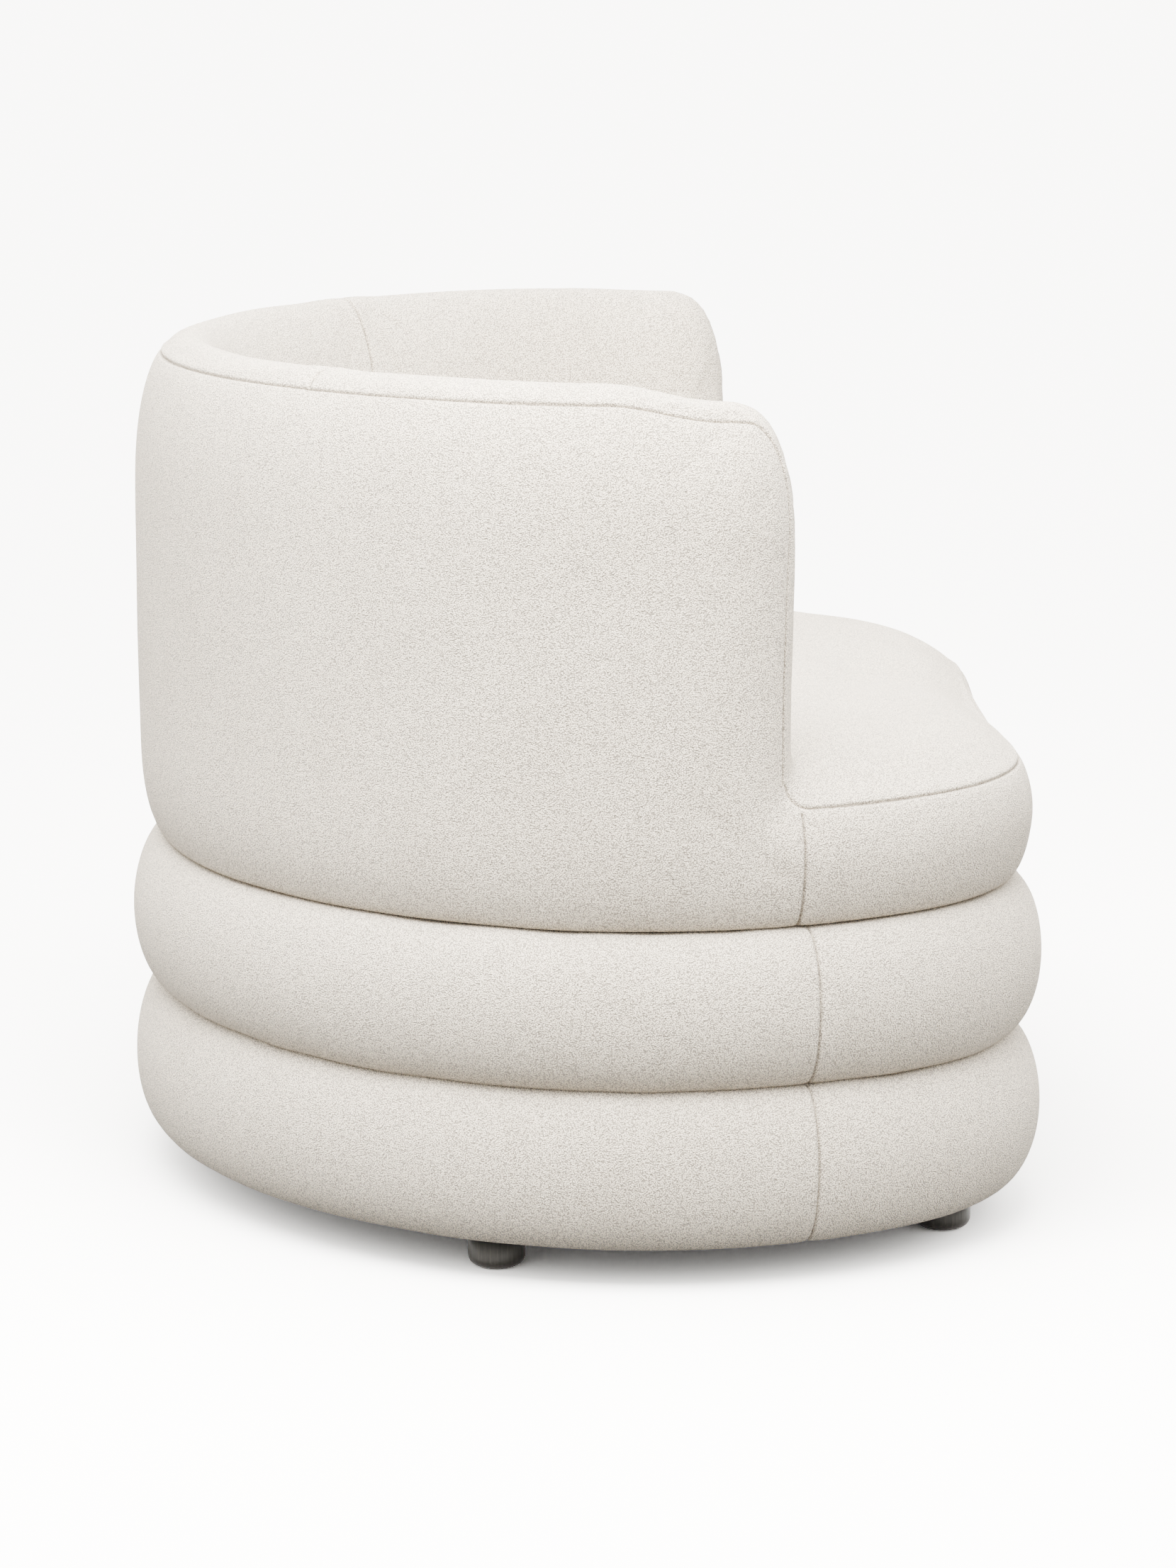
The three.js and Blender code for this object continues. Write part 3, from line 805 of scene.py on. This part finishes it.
def boucle_material():
    """Small knotted loops of yarn, painted lighter on the loop tops as a painted highlight and darker in
    the gaps between the loops as painted shade, with a fine fuzz.
    """
    m = Nodes("boucle")
    m.set(Sheen_Weight=0.2, Sheen_Roughness=0.5, Specular_IOR_Level=0.12, Roughness=0.95)
    bend = m.noise(260, 2, 0.6)
    strayed = m.add("ShaderNodeVectorMath", {"operation": "SCALE", "Scale": 0.0016})
    m.tree.links.new(bend.outputs["Color"], strayed.inputs[0])
    moved = m.add("ShaderNodeVectorMath", {"operation": "ADD"})
    m.tree.links.new(m.place, moved.inputs[0])
    m.tree.links.new(strayed.outputs["Vector"], moved.inputs[1])
    laid = m.add("ShaderNodeMapping", {"Scale": (1.0, 1.0, 0.9)}, Vector=moved.outputs["Vector"])
    loops = m.add(
        "ShaderNodeTexVoronoi", {"Scale": LOOP_SCALE, "Randomness": 1.0}, Vector=laid.outputs["Vector"]
    )
    curls = m.add(
        "ShaderNodeTexVoronoi", {"Scale": CURL_SCALE, "Randomness": 1.0}, Vector=moved.outputs["Vector"]
    )
    fuzz = m.noise(1600, 3, 0.65)
    gap = m.maths("POWER", loops.outputs["Distance"], 1.6)
    height = m.maths("SUBTRACT", 1.0, gap)
    height = m.maths("SUBTRACT", height, m.maths("MULTIPLY", curls.outputs["Distance"], 0.4))
    height = m.maths("ADD", height, m.maths("MULTIPLY", fuzz.outputs["Fac"], 0.25))
    m.link(m.bump(height, 0.0012, 1.0), "Normal")
    # The yarn's cream colour, with a painted highlight on the loop tops and painted shade in the gaps
    # between the loops, taken from the same loop distance as the bump.
    yarn_highlight_and_gap_shade = m.ramp(gap, (0.02, (1.0, 0.89, 0.72)), (0.22, (0.79, 0.70, 0.56)), (0.5, (0.34, 0.30, 0.245)))
    patches = m.ramp(m.noise(9, 3).outputs["Fac"], (0.35, (0.955, 0.95, 0.945)), (0.65, (1, 1, 1)))
    # Painted shade along the seams, standing for the shadow in the seam grooves.
    seam = m.add("ShaderNodeAttribute", {"attribute_name": "seam_shade"})
    streaked = m.add("ShaderNodeMapping", {"Scale": (1.0, 1.0, 2.6)}, Vector=m.place)
    slubs = m.noise(170, 3, 0.6, streaked.outputs["Vector"])
    streaks = m.ramp(slubs.outputs["Fac"], (0.35, (0.90, 0.895, 0.885)), (0.6, (1, 1, 1)))
    colour = m.mixed("MULTIPLY", 1.0, m.mixed("MULTIPLY", 1.0, yarn_highlight_and_gap_shade, patches), streaks)
    colour = m.mixed("MULTIPLY", seam.outputs["Fac"], colour, SEAM_SHADE_COLOUR)
    m.link(colour, "Base Color")
    return m.material


def stained_wood_material():
    """Dark stained wood with upright grain under a satin lacquer."""
    m = Nodes("stained_wood")
    m.set(Specular_IOR_Level=0.12, Coat_Weight=0.03, Coat_Roughness=0.4)
    stretched = m.add("ShaderNodeMapping", {"Scale": (1.0, 1.0, 0.08)}, Vector=m.place)
    grain = m.noise(420, 4, 0.65, stretched.outputs["Vector"])
    colour = m.ramp(
        grain.outputs["Fac"],
        (0.3, (0.014, 0.013, 0.011)),
        (0.55, (0.025, 0.023, 0.020)),
        (0.75, (0.040, 0.037, 0.032)),
    )
    m.link(colour, "Base Color")
    m.link(m.maths("ADD", m.maths("MULTIPLY", grain.outputs["Fac"], 0.2), 0.32), "Roughness")
    m.link(m.bump(grain.outputs["Fac"], 0.0003, 0.4), "Normal")
    return m.material


def grained_material(name, pale, dark, scale, stretch, roughness):
    """Bare wood with grain drawn out along one axis."""
    m = Nodes(name)
    stretched = m.add("ShaderNodeMapping", {"Scale": stretch}, Vector=m.place)
    grain = m.noise(scale, 5, 0.6, stretched.outputs["Vector"])
    m.link(m.ramp(grain.outputs["Fac"], (0.35, dark), (0.65, pale)), "Base Color")
    m.link(m.maths("ADD", m.maths("MULTIPLY", grain.outputs["Fac"], 0.2), roughness), "Roughness")
    m.link(m.bump(grain.outputs["Fac"], 0.0004, 0.4), "Normal")
    return m.material


def foam_material(name, pale, dark, scale):
    """Open cells as small pits."""
    m = Nodes(name)
    cells = m.add("ShaderNodeTexVoronoi", {"Scale": scale}, Vector=m.place)
    m.link(m.ramp(cells.outputs["Distance"], (0.1, dark), (0.5, pale)), "Base Color")
    m.link(m.bump(cells.outputs["Distance"], 0.0006, 0.6), "Normal")
    m.set(Roughness=0.95, Specular_IOR_Level=0.1)
    return m.material


def lining_material():
    """Black non-woven cloth: short fibres pressed flat, with a faint grid of bonding points."""
    m = Nodes("lining")
    fibres = m.noise(900, 4, 0.7)
    points = m.add("ShaderNodeTexVoronoi", {"Scale": 600.0, "Randomness": 0.15}, Vector=m.place)
    colour = m.ramp(fibres.outputs["Fac"], (0.3, (0.008, 0.008, 0.009)), (0.7, (0.028, 0.028, 0.030)))
    m.link(colour, "Base Color")
    height = m.maths("ADD", fibres.outputs["Fac"], m.maths("MULTIPLY", points.outputs["Distance"], 0.6))
    m.link(m.bump(height, 0.0004, 0.7), "Normal")
    m.set(Roughness=0.85, Specular_IOR_Level=0.25)
    return m.material


def webbing_material():
    """Woven elastic strap: a plain weave of warp and weft."""
    m = Nodes("webbing")
    warp = m.add("ShaderNodeTexWave", {"Scale": 130.0, "bands_direction": "X"}, Vector=m.place)
    weft = m.add("ShaderNodeTexWave", {"Scale": 130.0, "bands_direction": "Y"}, Vector=m.place)
    weave = m.maths("MULTIPLY", warp.outputs["Fac"], weft.outputs["Fac"])
    m.link(m.ramp(weave, (0.0, (0.012, 0.011, 0.010)), (0.8, (0.055, 0.050, 0.046))), "Base Color")
    m.link(m.bump(weave, 0.0006, 0.8), "Normal")
    m.set(Roughness=0.85)
    return m.material


def plain_solid_material(name, pale, dark, scale, depth, roughness, metallic=0.0):
    """Moulded plastic or plated steel, with slight mottling and fine marks."""
    m = Nodes(name)
    marks = m.noise(scale, 4, 0.6)
    m.link(m.ramp(marks.outputs["Fac"], (0.35, dark), (0.65, pale)), "Base Color")
    m.link(m.maths("ADD", m.maths("MULTIPLY", marks.outputs["Fac"], 0.25), roughness), "Roughness")
    m.link(m.bump(marks.outputs["Fac"], depth, 0.5), "Normal")
    m.set(Metallic=metallic)
    return m.material


def floor_material():
    """A plain pale studio floor."""
    m = Nodes("studio_floor")
    diffuse = m.add("ShaderNodeBsdfDiffuse", {"Color": (1.30, 1.30, 1.29, 1)})
    output = m.tree.nodes["Material Output"]
    m.tree.links.new(diffuse.outputs[0], output.inputs["Surface"])
    return m.material


MATERIALS = {
    "boucle": boucle_material(),
    "foam": foam_material("foam", (0.80, 0.73, 0.45), (0.62, 0.55, 0.30), 900.0),
    "wadding": foam_material("wadding", (0.88, 0.88, 0.86), (0.74, 0.74, 0.72), 260.0),
    "plywood": grained_material(
        "plywood", (0.66, 0.48, 0.27), (0.46, 0.31, 0.16), 60, (1.0, 0.12, 1.0), 0.5
    ),
    "hardwood": grained_material(
        "hardwood", (0.52, 0.33, 0.16), (0.36, 0.21, 0.09), 90, (1.0, 1.0, 0.08), 0.45
    ),
    "webbing": webbing_material(),
    "lining": lining_material(),
    "stained_wood": stained_wood_material(),
    "glide": plain_solid_material(
        "glide", (0.035, 0.035, 0.035), (0.018, 0.018, 0.018), 300, 0.0002, 0.45
    ),
    "steel": plain_solid_material(
        "steel", (0.62, 0.63, 0.64), (0.48, 0.49, 0.50), 500, 0.0001, 0.25, 1.0
    ),
}


def finished(obj, slot, *nodes):
    """Gives a piece its material and place in the record, and lets it stand for CAD nodes."""
    obj.data.materials.clear()
    obj.data.materials.append(MATERIALS[slot])
    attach(obj, "root")
    if nodes:
        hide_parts(*nodes)
    return obj


# ---- The upholstery -------------------------------------------------------------------------------


def dress_roll(name, bottom, top, bottom_seed, top_seed):
    obj, held = roll(name, bottom, top, bottom_seed, top_seed)
    seams = roll_seams(bottom, top)
    puffed(obj, held | beside(seams, positions(obj), HELD_BESIDE_SEAM), PRESSURE, SWELL)
    sewn(obj, seams)
    uneven(obj, 0.0010, 0.09, top_seed)
    shade_smooth(obj)
    finished(obj, "boucle", f"{name}_cover_front", f"{name}_cover_rear", f"{name}_foam")


def dress_upper_body():
    obj = upper_body()
    seams = [rim_seam(), *seat_seam(), *border_seams(), *inner_seams(), tuck_line()]
    seams = [on_surface(obj, spaced(line, 0.002)) for line in seams]
    points = positions(obj)
    held = beside(seams, points, HELD_BESIDE_SEAM) | (points[:, 2] < HIGH_CREASE + HELD_BESIDE_SEAM)
    puffed(obj, held, PRESSURE, SWELL)
    sewn(obj, [on_surface(obj, line) for line in seams])
    uneven(obj, 0.0012, 0.11, 5)
    shade_smooth(obj)
    covers = [f"inner_back_cover_{side}" for side in ("centre", "left", "right")]
    fillings = ["outer_wadding", "inner_back_foam", "rim_foam", "seat_foam"]
    noses = [f"arm_nose_foam_{side}" for side in ("left", "right")]
    outside = ["outer_back_cover", *covers, "seat_top_cover", "seat_border_cover"]
    finished(obj, "boucle", *outside, *fillings, *noses)


# ---- Feet and underside ---------------------------------------------------------------------------


def dress_feet():
    edge = quarter(FOOT_RADIUS - FOOT_EDGE, FOOT_BOTTOM + FOOT_EDGE, FOOT_EDGE, -90, 0, 12)
    foot = [(0, FOOT_BOTTOM), *edge, (FOOT_RADIUS, FOOT_TOP), (0, FOOT_TOP)]
    glide_edge = quarter(GLIDE_RADIUS - GLIDE_EDGE, GLIDE_EDGE, GLIDE_EDGE, -90, 0, 5)
    glide = [(0, 0), *glide_edge, (GLIDE_RADIUS, GLIDE_HEIGHT), (0, GLIDE_HEIGHT)]
    for k in range(1, FOOT_COUNT + 1):
        centre = node_middle(f"foot_{k}")
        finished(lathe(f"turned_foot_{k}", foot, centre, FOOT_SIDES), "stained_wood", f"foot_{k}")
        finished(lathe(f"round_glide_{k}", glide, centre, GLIDE_SIDES), "glide", f"glide_{k}")


def dust_sheet():
    """The black cover under the seat, hemmed at its edge and stapled to the frame."""
    stations = loop_stations(0.012)
    rows = []
    for inset, lift in ((0.0, 0.0006), (0.0005, 0.0), (SHEET_HEM - 0.001, 0.0), (SHEET_HEM, 0.0007)):
        rows.append(along(stations, SHEET_EDGE - inset, SHEET_HEIGHT + lift))
    for inset in np.linspace(SHEET_HEM + 0.012, 0.17, 10):
        rows.append(along(stations, SHEET_EDGE - inset, SHEET_HEIGHT + 0.0007))
    last = rows[-1]
    centre = last.mean(0)
    for share in np.linspace(0.85, 0.05, 12):
        rows.append(centre + (last - centre) * share)
    count = len(stations[0])
    faces = ring_grid(len(rows), count, False)
    faces.append(tuple(range((len(rows) - 1) * count, len(rows) * count)))
    points = np.concatenate(rows)
    inward = np.linalg.norm(points[:, :2] - centre[:2], axis=1)
    slack = smooth_step(1 - inward / 0.38)
    ripple = np.array([noise.noise(Vector((p[0] / 0.12, p[1] / 0.05, 3.0))) for p in points])
    points[:, 2] += -0.0015 * slack + 0.0008 * ripple * slack
    obj = new_object("dust_cover_sheet", points, faces)
    shade_smooth(obj)
    finished(obj, "lining", "dust_cover")


def staples():
    """Wire staples along the hem of the dust cover, as one piece."""
    stations = loop_stations(STAPLE_GAP)
    crown = [(-0.005, 0.0), (-0.0046, -0.0006), (0.0046, -0.0006), (0.005, 0.0)]
    points, faces = [], []
    half = STAPLE_HALF_WIRE
    for base, normal in zip(*stations):
        way = np.array([-normal[1], normal[0]])
        middle = base + normal * (SHEET_EDGE - SHEET_HEM / 2)
        first = len(points)
        for shift, drop in crown:
            for side in (-half, half):
                for thick in (0, 0.0005):
                    xy = middle + way * shift + normal * side
                    points.append((xy[0], xy[1], SHEET_HEIGHT + drop + thick))
        for k in range(len(crown) - 1):
            a, b = first + 4 * k, first + 4 * (k + 1)
            for i, j in ((0, 1), (1, 3), (3, 2), (2, 0)):
                faces.append((a + i, a + j, b + j, b + i))
        for a in (first, first + 4 * (len(crown) - 1)):
            faces.append((a, a + 1, a + 3, a + 2))
    obj = new_object("dust_cover_staples", points, faces)
    turned_out(obj)
    finished(obj, "steel")


# ---- Studio ---------------------------------------------------------------------------------------


def camera():
    data = bpy.data.cameras.new("camera")
    data.sensor_fit = "VERTICAL"
    data.sensor_height = SENSOR
    data.lens = LENS
    data.shift_x, data.shift_y = SHIFT
    data.clip_end = 500
    obj = bpy.data.objects.new("camera", data)
    bpy.context.scene.collection.objects.link(obj)
    obj.location = CAMERA_PLACE
    look = Vector((
        math.cos(CAMERA_HEADING) * math.cos(CAMERA_PITCH),
        math.sin(CAMERA_HEADING) * math.cos(CAMERA_PITCH),
        -math.sin(CAMERA_PITCH),
    ))
    obj.rotation_euler = look.to_track_quat("-Z", "Y").to_euler()
    bpy.context.scene.camera = obj


def area_light(name, place, target, size, power, colour=(1, 1, 1)):
    data = bpy.data.lights.new(name, "AREA")
    data.shape = "RECTANGLE"
    data.size, data.size_y = size
    data.energy = power
    data.color = colour
    obj = bpy.data.objects.new(name, data)
    bpy.context.scene.collection.objects.link(obj)
    obj.location = place
    obj.rotation_euler = (Vector(target) - Vector(place)).to_track_quat("-Z", "Y").to_euler()


def studio():
    half = FLOOR_HALF
    corners = [(-half, -half, 0), (half, -half, 0), (half, half, 0), (-half, half, 0)]
    floor = new_object("studio_floor", corners, [(0, 1, 2, 3)])
    floor.data.materials.append(floor_material())
    floor.visible_diffuse = False
    world = bpy.data.worlds.new("studio")
    bpy.context.scene.world = world
    world.use_nodes = True
    tree = world.node_tree
    place = tree.nodes.new("ShaderNodeTexCoord")
    split = tree.nodes.new("ShaderNodeSeparateXYZ")
    ramp = tree.nodes.new("ShaderNodeValToRGB")
    tree.links.new(place.outputs["Generated"], split.inputs[0])
    tree.links.new(split.outputs["Z"], ramp.inputs["Fac"])
    ramp.color_ramp.elements.new(0.5)
    for element, (height, level) in zip(ramp.color_ramp.elements, DOME_LEVELS):
        element.position = height
        element.color = (*(level * part for part in LIGHT_COLOUR), 1)
    background = tree.nodes["Background"]
    tree.links.new(ramp.outputs["Color"], background.inputs["Color"])
    background.inputs["Strength"].default_value = DOME_STRENGTH
    area_light("softbox", KEY_PLACE, KEY_TARGET, KEY_SIZE, KEY_POWER, LIGHT_COLOUR)


camera()
studio()
dress_roll("middle_roll", LOW_CREASE, HIGH_CREASE, 2.3, 4.1)
dress_roll("bottom_roll", BOTTOM_EDGE, LOW_CREASE, 0, 2.3)
dress_upper_body()
dress_feet()
dust_sheet()
staples()

for node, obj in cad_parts.items():
    if not obj.hide_render:
        names = [material.name for material in obj.data.materials if material]
        slot = next(s for s in MATERIALS if any(name.startswith(s) for name in names))
        for place in obj.material_slots:
            place.material = MATERIALS[slot]
